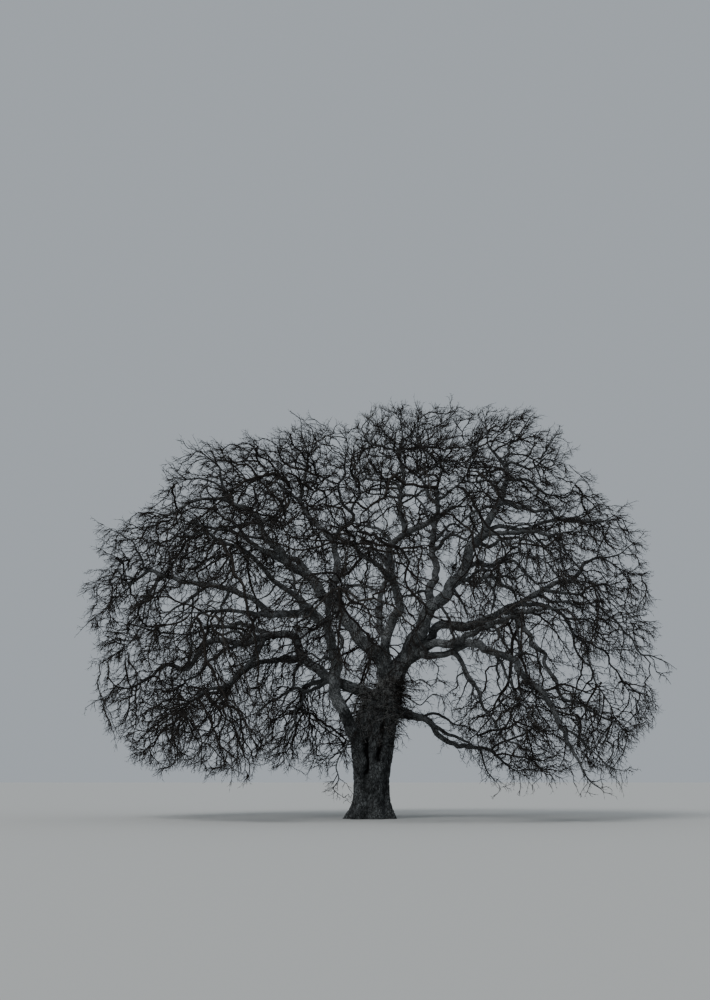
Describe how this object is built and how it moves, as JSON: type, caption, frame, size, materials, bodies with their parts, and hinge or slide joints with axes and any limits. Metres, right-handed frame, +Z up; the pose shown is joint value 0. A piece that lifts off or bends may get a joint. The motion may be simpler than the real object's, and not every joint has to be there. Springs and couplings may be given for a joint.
{
  "type": "bare oak tree",
  "caption": "Open-grown oak tree in winter: a short fluted trunk with a root flare, sinuous spreading boughs and a wide dome of bare twigs.",
  "frame": {"origin": "middle of the flat cut under the trunk, at ground level", "axes": "+Z up, +X to the right of the tree as the picture shows it, along its widest spread, -Y towards the viewer"},
  "size_m": [24.7582, 22.5392, 18.05],
  "materials": {
    "bark": "rough, deeply fissured grey-brown bark",
    "twigs": "matte dark grey-brown twigs"
  },
  "bodies": {
    "root": {"centre_bough": "bark", "crest_bough": "bark", "crest_twigs": "twigs", "east_bough": "bark", "east_shoulder_bough": "bark", "far_bough": "bark", "far_east_bough": "bark", "far_east_shoulder_bough": "bark", "far_east_top_bough": "bark", "far_low_bough": "bark", "far_west_bough": "bark", "far_west_shoulder_bough": "bark", "flank_twigs_east": "twigs", "flank_twigs_far": "twigs", "flank_twigs_far_east": "twigs", "flank_twigs_far_west": "twigs", "flank_twigs_near": "twigs", "flank_twigs_near_east": "twigs", "flank_twigs_near_west": "twigs", "flank_twigs_west": "twigs", "great_east_bough": "bark", "great_west_bough": "bark", "low_east_bough": "bark", "low_west_bough": "bark", "near_bough": "bark", "near_east_bough": "bark", "near_east_low_bough": "bark", "near_east_shoulder_bough": "bark", "near_low_bough": "bark", "near_west_bough": "bark", "near_west_shoulder_bough": "bark", "north_west_bough": "bark", "shoulder_twigs_east": "twigs", "shoulder_twigs_far": "twigs", "shoulder_twigs_far_east": "twigs", "shoulder_twigs_far_west": "twigs", "shoulder_twigs_near": "twigs", "shoulder_twigs_near_east": "twigs", "shoulder_twigs_near_west": "twigs", "shoulder_twigs_west": "twigs", "skirt_east_bough": "bark", "skirt_far_bough": "bark", "skirt_far_west_bough": "bark", "skirt_near_west_bough": "bark", "skirt_twigs_east": "twigs", "skirt_twigs_far": "twigs", "skirt_twigs_far_east": "twigs", "skirt_twigs_far_west": "twigs", "skirt_twigs_near_east": "twigs", "skirt_twigs_near_west": "twigs", "skirt_twigs_west": "twigs", "top_twigs_east": "twigs", "top_twigs_far_east": "twigs", "top_twigs_far_west": "twigs", "top_twigs_near": "twigs", "top_twigs_near_west": "twigs", "trunk": "bark", "west_bough": "bark", "west_riser_bough": "bark", "west_shoulder_bough": "bark"}
  },
  "joints": []
}
